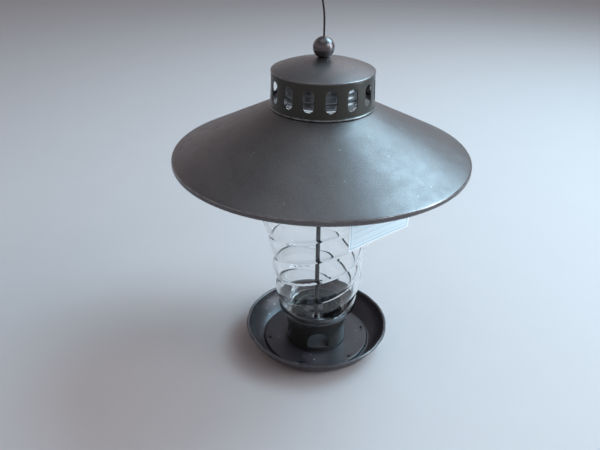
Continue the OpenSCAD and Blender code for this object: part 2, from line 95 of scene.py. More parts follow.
# Span of noise over which a finish passes from one look to the other, and the spans over which the
# crests of the grain, a bare edge that is worn paint and painted highlight, its patches and a
# rubbed bend come in
SPAN = (0.3, 0.7)
CREST_SPAN = (0.36, 0.62)
BARE_HIGHLIGHT_SPAN = (0.6, 1.0)
PATCH_SPAN = (0.35, 0.6)
RUB_SPAN = (0.3, 0.9)

# Drift above which there is dust, and how far a speck shows, each for no dust and for full dust
DUST_GATE = (0.68, 0.55)
DUST_SHARE = (0.15, 0.5)

# Width of a sheet's broken edges, the angle in degrees above which they are broken, and the angles
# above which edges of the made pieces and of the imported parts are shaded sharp
SHEET_EDGE = 0.22
BROKEN_ANGLE = 62
SHARP_ANGLE = 40
PLAIN_ANGLE = 30

# Rounded end of a bar: distance from its tip and radius there, as shares of the bar's radius
ROUNDED_END = ((0.0, 0.55), (0.25, 0.9), (0.6, 1.0))


class Body(Enum):
    """The feeder's moving bodies."""

    BASE = "base"
    ROOF = "roof"
    HANGER = "hanger"
    FINIAL = "finial"


# Outlines


@dataclass(frozen=True)
class Extent:
    """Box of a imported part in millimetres, and its radius if it is round about the rod."""

    low: Vertex
    high: Vertex
    middle: Vertex
    foot: float
    top: float
    radius: float

    @classmethod
    def of(cls, node: str) -> "Extent":
        """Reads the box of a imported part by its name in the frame."""
        low, high = (tuple(v / MM for v in corner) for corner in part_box(node))
        return cls(low, high, tuple(map(mean, zip(low, high))), low[2], high[2], high[0])


def lerp(start: float, end: float, share: float) -> float:
    """Value at a share of the way from one value to another."""
    return start + (end - start) * share


def between(start: Point, end: Point, share: float) -> Point:
    """Point at a share of the way from one point to another."""
    return lerp(start[0], end[0], share), lerp(start[1], end[1], share)


def over(value: float, divisor: float) -> float:
    """Quotient of two values, infinite where the divisor is nothing."""
    return value / divisor if abs(divisor) > NIL else math.inf


def arc(centre: Point, radius: float, start: float, end: float, steps: int) -> list[Point]:
    """Points along an arc between two angles in degrees, ends included."""
    angles = [math.radians(start + (end - start) * i / steps) for i in range(steps + 1)]
    return [(centre[0] + radius * math.cos(a), centre[1] + radius * math.sin(a)) for a in angles]


def ways_round(sides: int) -> list[Point]:
    """Unit steps round a circle, from its right-hand side."""
    return [(math.cos(a), math.sin(a)) for a in (math.tau * j / sides for j in range(sides))]


def bow(start: Point, end: Point, turn: float, steps: int) -> list[Point]:
    """Points along the arc that joins two points.

    Args:
        start: First point.
        end: Last point.
        turn: Turn to the left on the way, in degrees.
        steps: Number of chords.

    Returns:
        The points, ends included.
    """
    chord = Vector(end) - Vector(start)
    radius = chord.length / (2 * math.sin(math.radians(turn) / 2))
    heading = math.degrees(math.atan2(chord.y, chord.x)) - turn / 2
    side = math.radians(heading + 90)
    centre = Vector(start) + radius * Vector((math.cos(side), math.sin(side)))
    return arc(tuple(centre), radius, heading - 90, heading - 90 + turn, steps)


def eased(*corners: Vertex, chord: float = 12) -> list[Point]:
    """Rounds the corners of a path, as a press rounds the bends of a sheet.

    Args:
        corners: Each corner's radius, height and bend radius, where 0 keeps it sharp.
        chord: Greatest turn of a chord, in degrees.

    Returns:
        The points of the path.
    """
    path: list[Point] = [corners[0][:2]]
    for before, corner, after in zip(corners, corners[1:], corners[2:]):
        here = Vector(corner[:2])
        into = (here - Vector(before[:2])).normalized()
        out = (Vector(after[:2]) - here).normalized()
        turn = math.degrees(math.atan2(into.cross(out), into.dot(out)))
        if not corner[2] or abs(turn) < 1:
            path.append(tuple(here))
            continue
        reach = corner[2] * math.tan(math.radians(abs(turn)) / 2)
        steps = max(2, math.ceil(abs(turn) / chord))
        path += bow(tuple(here - into * reach), tuple(here + out * reach), turn, steps)
    return path + [corners[-1][:2]]


def spaced(path: Sequence[Point], longest: float) -> list[Point]:
    """Splits a path's long lines, so that smooth shading stays near the bends.

    Args:
        path: The path's points.
        longest: Greatest length of a line.

    Returns:
        The points of the same path, closer together.
    """
    points = [path[0]]
    for start, end in zip(path, path[1:]):
        count = max(1, math.ceil(math.dist(start, end) / longest))
        points += [between(start, end, i / count) for i in range(1, count + 1)]
    return points


# Meshes


def placed(name: str, data: bpy.types.ID) -> Piece:
    """Puts an object into the scene.

    Args:
        name: The object's name.
        data: Its mesh, light or camera.

    Returns:
        The object.
    """
    piece = bpy.data.objects.new(name, data)
    bpy.context.scene.collection.objects.link(piece)
    return piece


def smooth(mesh: bpy.types.Mesh, sharp: float) -> None:
    """Shades a mesh smooth, but for edges above an angle in degrees."""
    mesh.shade_smooth()
    mesh.set_sharp_from_angle(angle=math.radians(sharp))


@dataclass
class Skin:
    """Vertices in millimetres and the faces between them."""

    vertices: list[Vertex]
    faces: list[Face]

    @classmethod
    def joined(cls, loops: Sequence[Sequence[Vertex]], closed: bool = False) -> "Skin":
        """Joins loops that have equally many points.

        Args:
            loops: The loops, in order.
            closed: Whether the last loop joins the first.

        Returns:
            The skin between the loops.
        """
        sides = len(loops[0])
        faces = []
        for i in range(len(loops) if closed else len(loops) - 1):
            low, high = i * sides, (i + 1) % len(loops) * sides
            for j in range(sides):
                after = (j + 1) % sides
                faces.append((low + j, low + after, high + after, high + j))
        return cls([point for loop in loops for point in loop], faces)

    @classmethod
    def rings(cls, rings: Sequence[Sequence[Point]], closed: bool = False) -> "Skin":
        """Joins rings about the rod, each with a radius and a height at every step round."""
        ways = ways_round(len(rings[0]))
        return cls.joined(
            [[(r * x, r * y, z) for (x, y), (r, z) in zip(ways, ring)] for ring in rings], closed
        )

    @classmethod
    def lathe(cls, outline: Sequence[Point], sides: int, closed: bool = False) -> "Skin":
        """Turns an outline about the rod, in a number of steps."""
        return cls.rings([[point] * sides for point in outline], closed)

    def made(self, name: str, sharp: float = SHARP_ANGLE) -> Piece:
        """Makes a mesh object that holds the bend of its surface at every point.

        Args:
            name: The object's name.
            sharp: Angle in degrees above which an edge is shaded sharp.

        Returns:
            The object.
        """
        mesh = bpy.data.meshes.new(name)
        mesh.from_pydata([tuple(v * MM for v in p) for p in self.vertices], [], self.faces)
        shaped = bmesh.new()
        shaped.from_mesh(mesh)
        bmesh.ops.remove_doubles(shaped, verts=shaped.verts, dist=NIL)
        bends = [
            max((edge.calc_face_angle_signed(0) for edge in vertex.link_edges), default=0)
            for vertex in shaped.verts
        ]
        shaped.to_mesh(mesh)
        shaped.free()
        held = mesh.attributes.new(BEND, "FLOAT", "POINT")
        held.data.foreach_set("value", [min(1.0, max(0.0, bend / FULL_BEND)) for bend in bends])
        smooth(mesh, sharp)
        return placed(name, mesh)


def break_edges(piece: Piece, width: float, angle: float) -> None:
    """Breaks a piece's sharp edges.

    Args:
        piece: The piece.
        width: Width of the broken edges.
        angle: Angle in degrees above which an edge is broken.
    """
    bevel = piece.modifiers.new("broken_edges", "BEVEL")
    bevel.width = width * MM
    bevel.segments = 2
    bevel.limit_method = "ANGLE"
    bevel.angle_limit = math.radians(angle)


@dataclass(frozen=True)
class Cutout:
    """A row of equal openings with round heads through a round wall.

    Fields:
        count, half: How many there are, and half their width.
        first: Turn of the first from the front, in degrees.
        along: Distance of their middles along the wall.
        straight: Height from the middle to where the round ends start.
        sill: Depth of a flat foot below the middle, 0 for a round foot.
    """

    count: int
    first: float
    along: float
    half: float
    straight: float = 0.0
    sill: float = 0.0

    def reach(self, angle: float) -> float:
        """Distance from the middle of an opening to its edge.

        Args:
            angle: Angle from level, in radians.

        Returns:
            The distance.
        """
        across, up = abs(math.cos(angle)), abs(math.sin(angle))
        side = over(self.half, across)
        if self.sill and math.sin(angle) < 0:
            return min(side, over(self.sill, up))
        if side * up <= self.straight:
            return side
        return self.straight * up + math.sqrt(self.half**2 - (self.straight * across) ** 2)

    def rays(self, half: float, below: float, above: float, steps: int) -> list[float]:
        """Angles at which the wall round an opening is divided.

        Args:
            half: Half the width of the opening's share of the wall.
            below: Height of that share below the middle.
            above: Its height above the middle.
            steps: Number of even steps round the opening.

        Returns:
            The angles in radians, rising.
        """
        corners = [math.atan2(above, half), math.atan2(-below, half)]
        if self.sill:
            corners.append(math.atan2(-self.sill, self.half))
        angles = [math.tau * k / steps for k in range(steps)]
        angles += [a % math.tau for corner in corners for a in (corner, math.pi - corner)]
        kept: list[float] = []
        for angle in sorted(angles):
            if not kept or angle - kept[-1] > LEAST_TURN:
                kept.append(angle)
        return kept


def pierced(path: Sequence[Point], wall: int, cutout: Cutout, steps: int, rows: int) -> Skin:
    """Turns a path about the rod, with a row of openings through one of its straight lines.

    Args:
        path: Radius and height of each point.
        wall: Place in the path of the point where the pierced line starts.
        cutout: The openings.
        steps: Number of even steps round each opening.
        rows: Number of rows of faces between an opening and the edge of its share.

    Returns:
        The pierced skin.
    """
    foot, head = path[wall], path[wall + 1]
    length = math.dist(foot, head)
    radius = lerp(foot[0], head[0], cutout.along / length)
    half = math.pi * radius / cutout.count
    below, above = cutout.along, length - cutout.along
    edges = []
    for ray in cutout.rays(half, below, above, steps):
        across, up = math.cos(ray), math.sin(ray)
        share = min(over(half, abs(across)), over(above if up > 0 else below, abs(up)))
        edges.append((across, up, cutout.reach(ray), share))
    vertices: list[Vertex] = []
    faces: list[Face] = []

    def put(turn: float, r: float, z: float) -> int:
        """Adds a vertex at a turn in radians from the front, and says its number."""
        vertices.append((r * math.sin(turn), -r * math.cos(turn), z))
        return len(vertices) - 1

    for hole in range(cutout.count):
        middle = math.radians(cutout.first + 360 / cutout.count * hole)
        grid = []
        for across, up, near, far in edges:
            column = []
            for row in range(rows + 1):
                out = lerp(near, far, row / rows)
                point = between(foot, head, (cutout.along + out * up) / length)
                column.append(put(middle + out * across / radius, *point))
            grid.append(column)
        for one, two in zip(grid, grid[1:] + grid[:1]):
            faces += [(one[k], one[k + 1], two[k + 1], two[k]) for k in range(rows)]
        for way, height, rest in ((-1, below, path[wall::-1]), (1, above, path[wall + 1 :])):
            level = sorted(
                far * across for across, up, _, far in edges
                if up * way > 0 and abs(far * up - way * height) < NIL
            )
            bands = [[put(middle + a / radius, *point) for a in level] for point in rest]
            for one, two in zip(bands, bands[1:]):
                for k in range(len(level) - 1):
                    quad = (one[k], one[k + 1], two[k + 1], two[k])
                    faces.append(quad[::way])
    return Skin(vertices, faces)


def tube(path: Sequence[Point], radius: float, sides: int) -> Skin:
    """A round bar along a path in the XZ plane, with rounded ends.

    Args:
        path: Across and height of each point on its centre line.
        radius: Radius of the bar.
        sides: Number of steps round.

    Returns:
        The bar's closed skin.
    """
    last = len(path) - 1
    ways = ways_round(sides)
    loops: list[list[Vertex]] = []
    for i, point in enumerate(path):
        along = (Vector(path[min(i + 1, last)]) - Vector(path[max(i - 1, 0)])).normalized()
        stations = ((0.0, 1.0),)
        if i == 0:
            stations = ROUNDED_END
        elif i == last:
            stations = [(-step, share) for step, share in ROUNDED_END[::-1]]
        for step, share in stations:
            r = share * radius
            x, z = Vector(point) + along * (step * radius)
            loops.append([(x + along.y * r * a, r * b, z - along.x * r * a) for a, b in ways])
    skin = Skin.joined(loops)
    end = (len(loops) - 1) * sides
    skin.faces += [tuple(range(sides))[::-1], tuple(range(end, end + sides))]
    return skin


# Finishes


class Nodes:
    """The nodes of a material or the world, with short calls for what the finishes share."""

    def __init__(self, owner: Material | bpy.types.World) -> None:
        """Empties the nodes.

        Args:
            owner: The material or the world.
        """
        owner.use_nodes = True
        self.tree = owner.node_tree
        self.tree.nodes.clear()

    @cached_property
    def place(self) -> Socket:
        """The place on the piece itself, in metres."""
        return self.node("TexCoord").outputs["Object"]

    def node(
        self, kind: str, feeds: Mapping[str | int, object] | None = None, **settings: object
    ) -> bpy.types.Node:
        """Adds a node.

        Args:
            kind: The node's type, without its usual first part.
            feeds: Value or socket for each input, by name or number.
            settings: The node's own options.

        Returns:
            The node.
        """
        made = self.tree.nodes.new("ShaderNode" + kind)
        for key, value in settings.items():
            setattr(made, key, value)
        for key, value in (feeds or {}).items():
            if isinstance(value, Socket):
                self.tree.links.new(value, made.inputs[key])
            else:
                made.inputs[key].default_value = value
        return made

    def noise(self, size: float, detail: float, stretch: Vertex = (1, 1, 1)) -> Socket:
        """Cloudy noise about 0.5.

        Args:
            size: Size of its clouds in millimetres.
            detail: Number of finer layers.
            stretch: How much closer together the clouds lie along each axis.

        Returns:
            Its strength.
        """
        place = self.place
        if stretch != (1, 1, 1):
            place = self.node("Mapping", {"Vector": place, "Scale": stretch}).outputs[0]
        feeds = {"Vector": place, "Scale": 1 / (size * MM), "Detail": detail}
        return self.node("TexNoise", feeds).outputs[0]

    def graded(self, value: Socket, low: Colour, high: Colour, span: Point = SPAN) -> Socket:
        """A colour that follows a value.

        Args:
            value: The value.
            low: The colour up to the span.
            high: The colour beyond it.
            span: The values between which the colour changes.

        Returns:
            The colour.
        """
        ramp = self.node("ValToRGB", {0: value})
        for element, place, colour in zip(ramp.color_ramp.elements, span, (low, high)):
            element.position = place
            element.color = (*colour, 1)
        return ramp.outputs[0]

    def math(self, operation: str, *values: object) -> Socket:
        """One sum on values or sockets."""
        return self.node("Math", dict(enumerate(values)), operation=operation).outputs[0]

    def ranged(self, value: Socket, out: Point, span: Point = SPAN) -> Socket:
        """Maps a span of a value to a range, and holds the result within that."""
        return self.node("MapRange", dict(enumerate((value, *span, *out)))).outputs[0]

    def mixed(self, share: Socket, one: Socket, two: Colour) -> Socket:
        """Mixes a share of a plain colour into another colour, the node's inputs 6 and 7."""
        return self.node("Mix", {0: share, 6: one, 7: (*two, 1)}, data_type="RGBA").outputs[2]

    def bumped(self, height: Socket, depth: float) -> Socket:
        """A normal that follows a height from 0 to 1, for bumps of a depth in millimetres."""
        return self.node("Bump", {"Height": height, "Distance": depth * MM}).outputs[0]

    def surface(self, **feeds: object) -> Socket:
        """A principled surface, with a value or a socket for each of its inputs."""
        named = {key.replace("_", " "): value for key, value in feeds.items()}
        return self.node("BsdfPrincipled", named).outputs[0]


@dataclass(frozen=True)
class Finish:
    """A finish, with its material's name and the record's material slot that it stands for."""

    name: str
    slot: str

    def shaded(self, nodes: Nodes) -> Socket:
        """Builds the finish's surface from its material's nodes."""
        raise NotImplementedError

    @cache
    def material(self) -> Material:
        """The material, built when it is first used.

        Returns:
            The material.
        """
        material = bpy.data.materials.new(self.name)
        nodes = Nodes(material)
        nodes.node("OutputMaterial", {0: self.shaded(nodes)})
        return material


@dataclass(frozen=True)
class Paint(Finish):
    """Baked paint on sheet metal: fine grain, faint clouds, settled dust and rubbed bends, lighter
    as worn paint and painted highlight.

    Fields that need words:
        grain, depth: Size and depth of the paint's grain.
        dust: Share of the dust specks that show, from 0 to 1.
        wear_and_highlight: Share of bare metal colour along the bends, worn paint and painted
            highlight in one.
        sparkle: How far the grain's crests are lighter.
        speck_gap, speck: Distance between dust specks, and their radius as a share of it.
        polish: Roughness of a rubbed bend.
        cloud, smear, drift, patch: Size of what varies in colour, roughness, dust and the lighter
            bends.
    """

    dark: Colour
    light: Colour
    metallic: float
    rough: Point
    grain: float = 1.1
    depth: float = 0.03
    dust: float = 0.0
    coat: float = 0.0
    wear_and_highlight: float = 0.0
    sparkle: float = 0.35
    speck_gap: float = 6.0
    speck: float = 0.16
    dust_colour: Colour = (0.5, 0.5, 0.52)
    # Colour of the bends: bare metal, which also serves as painted highlight along folds and beads
    bare_highlight_colour: Colour = (0.45, 0.46, 0.48)
    polish: float = 0.2
    cloud: float = 34.0
    smear: float = 9.0
    drift: float = 7.0
    patch: float = 6.0

    def shaded(self, nodes: Nodes) -> Socket:
        """Builds the paint.

        Args:
            nodes: The material's nodes.

        Returns:
            The surface.
        """
        grain = nodes.noise(self.grain, 3)
        colour = nodes.graded(nodes.noise(self.cloud, 4), self.dark, self.light)
        crests = nodes.ranged(grain, (0.0, self.sparkle), CREST_SPAN)
        colour = nodes.mixed(crests, colour, tuple(1.5 * v for v in self.light))
        rough = nodes.ranged(nodes.noise(self.smear, 3), self.rough)
        if self.dust:
            feeds = {"Vector": nodes.place, "Scale": 1 / (self.speck_gap * MM)}
            cells = nodes.node("TexVoronoi", feeds).outputs["Distance"]
            near = nodes.math("LESS_THAN", cells, self.speck)
            gate = lerp(*DUST_GATE, self.dust)
            rare = nodes.math("GREATER_THAN", nodes.noise(self.drift, 1), gate)
            share = nodes.math("MULTIPLY", near, rare)
            share = nodes.math("MULTIPLY", share, lerp(*DUST_SHARE, self.dust))
            colour = nodes.mixed(share, colour, self.dust_colour)
        # Lighter bare metal along the bends: worn paint, and painted highlight for the bright lines
        # along hems, beads and lips
        if self.wear_and_highlight:
            bend = nodes.node("Attribute", attribute_name=BEND).outputs["Fac"]
            edge = nodes.ranged(bend, (0.0, self.wear_and_highlight), BARE_HIGHLIGHT_SPAN)
            patches = nodes.ranged(nodes.noise(self.patch, 3), (0.3, 1.0), PATCH_SPAN)
            colour = nodes.mixed(nodes.math("MULTIPLY", edge, patches), colour, self.bare_highlight_colour)
            rubbed = nodes.ranged(bend, (0.0, 1.0), RUB_SPAN)
            less = nodes.math("MULTIPLY", rubbed, nodes.math("SUBTRACT", rough, self.polish))
            rough = nodes.math("SUBTRACT", rough, less)
        return nodes.surface(
            Base_Color=colour, Metallic=self.metallic, Roughness=rough, Coat_Weight=self.coat,
            Coat_Roughness=0.08, Normal=nodes.bumped(grain, self.depth),
        )


@dataclass(frozen=True)
class BareMetal(Finish):
    """Plain or plated steel, darker in its fine upright drawing marks.

    Fields that need words:
        mark, smear: Size of the marks, and of what varies in roughness.
    """

    dark: Colour
    light: Colour
    rough: Point
    stretch: Vertex = (1, 1, 0.1)
    mark: float = 0.5
    smear: float = 5.0
    depth: float = 0.008

    def shaded(self, nodes: Nodes) -> Socket:
        """Builds the metal.

        Args:
            nodes: The material's nodes.

        Returns:
            The surface.
        """
        marks = nodes.noise(self.mark, 3, self.stretch)
        colour = nodes.graded(marks, self.dark, self.light)
        rough = nodes.ranged(nodes.noise(self.smear, 2), self.rough)
        bumps = nodes.bumped(marks, self.depth)
        return nodes.surface(Base_Color=colour, Metallic=1.0, Roughness=rough, Normal=bumps)


@dataclass(frozen=True)
class ClearGlass(Finish):
    """Moulded clear glass with a faint tint and a pale shadow."""

    tint: Colour = (0.99, 0.995, 0.995)
    shadow: Colour = (0.88, 0.9, 0.9)
    wave: float = 30.0
    stretch: Vertex = (1, 1, 2)
    depth: float = 0.05

    def shaded(self, nodes: Nodes) -> Socket:
        """Builds the glass, which lets lamp light through.

        Args:
            nodes: The material's nodes.

        Returns:
            The surface.
        """
        waves = nodes.noise(self.wave, 1, self.stretch)
        glass = nodes.surface(
            Base_Color=nodes.graded(waves, self.tint, (1, 1, 1)), Roughness=0.0,
            IOR=1.47, Transmission_Weight=1.0, Normal=nodes.bumped(waves, self.depth),
        )
        clear = nodes.node("BsdfTransparent", {0: (*self.shadow, 1)}).outputs[0]
        to_lamp = nodes.node("LightPath").outputs["Is Shadow Ray"]
        return nodes.node("MixShader", {0: to_lamp, 1: glass, 2: clear}).outputs[0]


@dataclass(frozen=True)
class Rubber(Finish):
    """Soft black seal rubber with a paler bloom on it."""

    dark: Colour = (0.012, 0.012, 0.013)
    light: Colour = (0.035, 0.035, 0.037)
    rough: Point = (0.6, 0.85)
    patch: float = 2.0
    depth: float = 0.02

    def shaded(self, nodes: Nodes) -> Socket:
        """Builds the rubber.

        Args:
            nodes: The material's nodes.

        Returns:
            The surface.
        """
        bloom = nodes.noise(self.patch, 4)
        colour = nodes.graded(bloom, self.dark, self.light, (0.3, 0.8))
        rough = nodes.ranged(bloom, self.rough)
        bumps = nodes.bumped(bloom, self.depth)
        return nodes.surface(Base_Color=colour, Roughness=rough, Normal=bumps)


@dataclass(frozen=True)
class CardStock(Finish):
    """Pale card with a thin printed frame and faint ruled lines.

    Fields that need words:
        inset, line: Distance of the frame from the card's edge, and half its width.
        ruling: Distance between the ruled lines, and from the edge to their ends.
        rule_share: Width of a ruled line as a share of that.
    """

    paper: Colour = (0.76, 0.88, 0.95)
    border: Colour = (0.88, 0.92, 0.95)
    ink: Colour = (0.2, 0.5, 0.62)
    rule: Colour = (0.42, 0.52, 0.6)
    inset: float = 2.7
    line: float = 0.3
    ruling: float = 6.5
    rule_share: float = 0.06
    fibre: float = 1.2
    depth: float = 0.01

    def shaded(self, nodes: Nodes) -> Socket:
        """Builds the card from the place that its mesh holds at each point.

        Args:
            nodes: The material's nodes.

        Returns:
            The surface.
        """
        place = nodes.node("Attribute", attribute_name=CARD_PLACE).outputs["Vector"]
        across, up, _ = nodes.node("SeparateXYZ", {0: place}).outputs
        margins = [
            nodes.math("MINIMUM", here, nodes.math("SUBTRACT", size, here))
            for here, size in ((across, PaperCard.width), (up, PaperCard.height))
        ]
        margin = nodes.math("MINIMUM", *margins)
        outside = nodes.math("LESS_THAN", margin, self.inset)
        frame_line = nodes.math("COMPARE", margin, self.inset, self.line)
        step = nodes.math("FRACT", nodes.math("DIVIDE", up, self.ruling))
        inside = nodes.math("GREATER_THAN", margin, self.ruling)
        rule = nodes.math("MULTIPLY", inside, nodes.math("LESS_THAN", step, self.rule_share))
        fibres = nodes.noise(self.fibre, 4)
        dull = tuple(0.94 * v for v in self.paper)
        colour = nodes.graded(fibres, dull, self.paper, (0.2, 0.8))
        for share, tone in ((outside, self.border), (frame_line, self.ink), (rule, self.rule)):
            colour = nodes.mixed(share, colour, tone)
        bumps = nodes.bumped(fibres, self.depth)
        return nodes.surface(
            Base_Color=colour, Roughness=0.7, Specular_IOR_Level=0.3, Normal=bumps
        )


BRONZE = Paint(
    "roof_bronze", "bronze_paint", (0.105, 0.092, 0.096), (0.135, 0.122, 0.126),
    metallic=0.85, rough=(0.36, 0.45), dust=0.15, wear_and_highlight=0.35,
)
TRAY_BRONZE = Paint(
    "tray_bronze", "bronze_paint", (0.032, 0.028, 0.034), (0.049, 0.043, 0.051),
    metallic=0.4, rough=(0.28, 0.38), dust=1.0, wear_and_highlight=0.12,
)
OLIVE = Paint(
    "vent_olive", "vent_paint", (0.036, 0.034, 0.029), (0.050, 0.047, 0.040),
    metallic=0.55, rough=(0.3, 0.38), depth=0.015, wear_and_highlight=0.45,
)
BALL_BRONZE = Paint(
    "ball_bronze", "bronze_paint", (0.105, 0.092, 0.096), (0.135, 0.122, 0.126),
    metallic=0.85, rough=(0.22, 0.28), grain=0.8, depth=0.006,
)
LINER = Paint(
    "liner_grey", "bronze_paint", (0.16, 0.175, 0.19), (0.21, 0.225, 0.24),
    metallic=0.8, rough=(0.36, 0.42), depth=0.004,
)
ENAMEL = Paint(
    "collar_enamel", "collar_black", (0.022, 0.021, 0.020), (0.030, 0.029, 0.029),
    metallic=0.0, rough=(0.1, 0.16), depth=0.004, coat=0.6, wear_and_highlight=0.3,
)
CONE_GREY = Paint(
    "cone_grey", "collar_black", (0.065, 0.063, 0.07), (0.085, 0.082, 0.09),
    metallic=0.3, rough=(0.28, 0.36), depth=0.01,
)
GLASS = ClearGlass("jar_glass", "clear_glass")
ZINC = BareMetal("zinc_plate", "zinc_steel", (0.26, 0.27, 0.28), (0.38, 0.39, 0.40), (0.3, 0.45))
# Near-black rod steel: painted shade for the shade under the roof, where plated steel would look
# mid grey
SHADED_ROD = BareMetal(
    "rod_steel_painted_shade", "wire_steel", (0.035, 0.032, 0.034), (0.06, 0.056, 0.06), (0.32, 0.45)
)
WIRE = BareMetal(
    "drawn_wire", "wire_steel", (0.034, 0.032, 0.032), (0.062, 0.059, 0.058), (0.3, 0.45)
)
SEAL = Rubber("seal_rubber", "rubber_seal")
CARD = CardStock("card_stock", "card")


# Fitting pieces to the frame


def fit(piece: Piece, body: Body, finish: Finish, node: str) -> None:
    """Dresses a piece, hangs it on its body and hides the plain part that it stands for.

    Args:
        piece: The piece.
        body: The body that it moves with.
        finish: Its finish.
        node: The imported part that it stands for.
    """
    piece.data.materials.append(finish.material())
    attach(piece, body.value)
    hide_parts(node)
    count = len(piece.data.polygons)
    LOG.info("%s: %d faces, %s on %s", piece.name, count, finish.name, body.value)


def press(
    skin: Skin, name: str, sheet: float, body: Body, finish: Finish, node: str,
    edge: float = SHEET_EDGE, offset: float = -1,
) -> Piece:
    """Makes a piece of sheet metal or card from its outer face, and fits it.

    Args:
        skin: The outer face.
        name: The piece's name.
        sheet: Thickness of the sheet.
        body: The body that it moves with.
        finish: Its finish.
        node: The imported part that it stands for.
        edge: Width of its broken edges.
        offset: Where the thickness goes: -1 inwards, 0 to both sides.

    Returns:
        The piece.
    """
    piece = skin.made(name)
    solid = piece.modifiers.new("sheet", "SOLIDIFY")
    solid.thickness = sheet * MM
    solid.offset = offset
    solid.use_even_offset = True
    break_edges(piece, edge, BROKEN_ANGLE)
    fit(piece, body, finish, node)
    return piece


def dress(finish: Finish, *nodes: str) -> None:
    """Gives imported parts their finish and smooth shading.

    Args:
        finish: The finish.
        nodes: The parts' names in the frame.
    """
    for node in nodes:
        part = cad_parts[node]
        part.data.materials.clear()
        part.data.materials.append(finish.material())
        smooth(part.data, PLAIN_ANGLE)
        LOG.info("%s: kept from the frame, %s", node, finish.name)


# Base: tray, collar, seed cone, jar, rod and card


@dataclass
class Tray:
    """The pressed round tray with its rolled lip, its foot ring and raised hub."""

    sheet: float = 1.0
    lip_radius: float = 1.7
    wall_turn: float = 46.0
    wall_width: float = 16.2
    wall_inset: float = 0.32
    foot_width: float = 2.2
    floor_lift: float = 4.0
    floor_step: float = 1.3
    hub_radius: float = 12.0
    hub_slope: float = 2.2
    hub_top: float = 10.6
    rod_hole: float = 2.9
    drains: int = 6
    drain_radius: float = 1.5
    drain_inset: float = 6.0
    drain_band: Point = (3.0, 9.5)
    drain_turn: float = -17.0
    foot_bend: float = 0.7
    step_bend: float = 0.9
    hub_bend: float = 1.2
    drain_grid: tuple[int, int] = (48, 3)

    def build(self) -> None:
        """Builds the tray from its upper face, which runs from the lip's curl to the rod's hole."""
        extent = Extent.of("tray")
        middle = (extent.radius - self.lip_radius, extent.top - self.lip_radius)
        foot = middle[0] - self.wall_width
        ring = foot - self.foot_width
        first, last = (ring - inset for inset in self.drain_band)
        curl = arc(middle, self.lip_radius, -160, 168, 26)
        wall = bow(curl[-1], (foot - self.wall_inset, self.sheet), -self.wall_turn, 14)
        floor = eased(
            (*wall[-2], 0),
            (*wall[-1], self.foot_bend),
            (ring, self.sheet, self.foot_bend),
            (ring - self.floor_step, self.floor_lift, self.step_bend),
            (first, self.floor_lift, 0),
        )
        hub = eased(
            (last, self.floor_lift, 0),
            (self.hub_radius + self.hub_slope, self.floor_lift, self.hub_bend),
            (self.hub_radius, self.hub_top, self.hub_bend),
            (self.rod_hole, self.hub_top, 0),
        )
        start = curl[:-1] + wall[:-1] + floor[1:]
        along = self.drain_inset - self.drain_band[0]
        drains = Cutout(self.drains, self.drain_turn, along, self.drain_radius)
        skin = pierced(start + spaced(hub, 4), len(start) - 1, drains, *self.drain_grid)
        press(skin, "tray_pressing", self.sheet, Body.BASE, TRAY_BRONZE, "tray")


@dataclass
class BaseCollar:
    """The glossy collar with arched seed ports, and what stands in it."""

    sheet: float = 1.0
    flange: float = 3.5
    foot_bend: float = 1.4
    rim: float = 1.6
    ports: int = 4
    port_turn: float = 5.0
    port_width: float = 24.0
    port_height: float = 19.6
    port_sill: float = 5.2
    port_grid: tuple[int, int] = (72, 8)
    edge: float = 0.35
    cone_sheet: float = 0.8
    cone_top: float = 6.0
    cone_bend: float = 1.2
    cone_sides: int = 128
    rod_hole: float = 2.9

    def build(self) -> None:
        """Builds the collar and the seed cone, and dresses the rings that carry the jar."""
        extent = Extent.of("base_collar")
        radius, foot, top = extent.radius, extent.foot, extent.top
        inner = radius - self.sheet - self.flange
        turn = eased((inner, foot, 0), (radius, foot, self.foot_bend), (radius, top, 0))[:-1]
        wall = turn + [(radius, top - self.rim * share) for share in (1, 0.5, 0)]
        arch = self.port_width / 2
        depth = self.port_height - arch
        along = foot + self.port_sill + depth - turn[-1][1]
        ports = Cutout(self.ports, self.port_turn, along, arch, sill=depth)
        collar = pierced(wall, len(turn) - 1, ports, *self.port_grid)
        press(collar, "ported_collar", self.sheet, Body.BASE, ENAMEL, "base_collar", self.edge)
        extent = Extent.of("seed_cone")
        slope = eased(
            (extent.radius, extent.foot + self.cone_sheet, 0),
            (self.cone_top, extent.top, self.cone_bend),
            (self.rod_hole, extent.top, 0),
        )
        cone = Skin.lathe(spaced(slope, 3), self.cone_sides)
        press(cone, "seed_cone_pressing", self.cone_sheet, Body.BASE, CONE_GREY, "seed_cone")
        dress(ENAMEL, "jar_seat")
        dress(SEAL, "foot_gasket", "mouth_gasket")


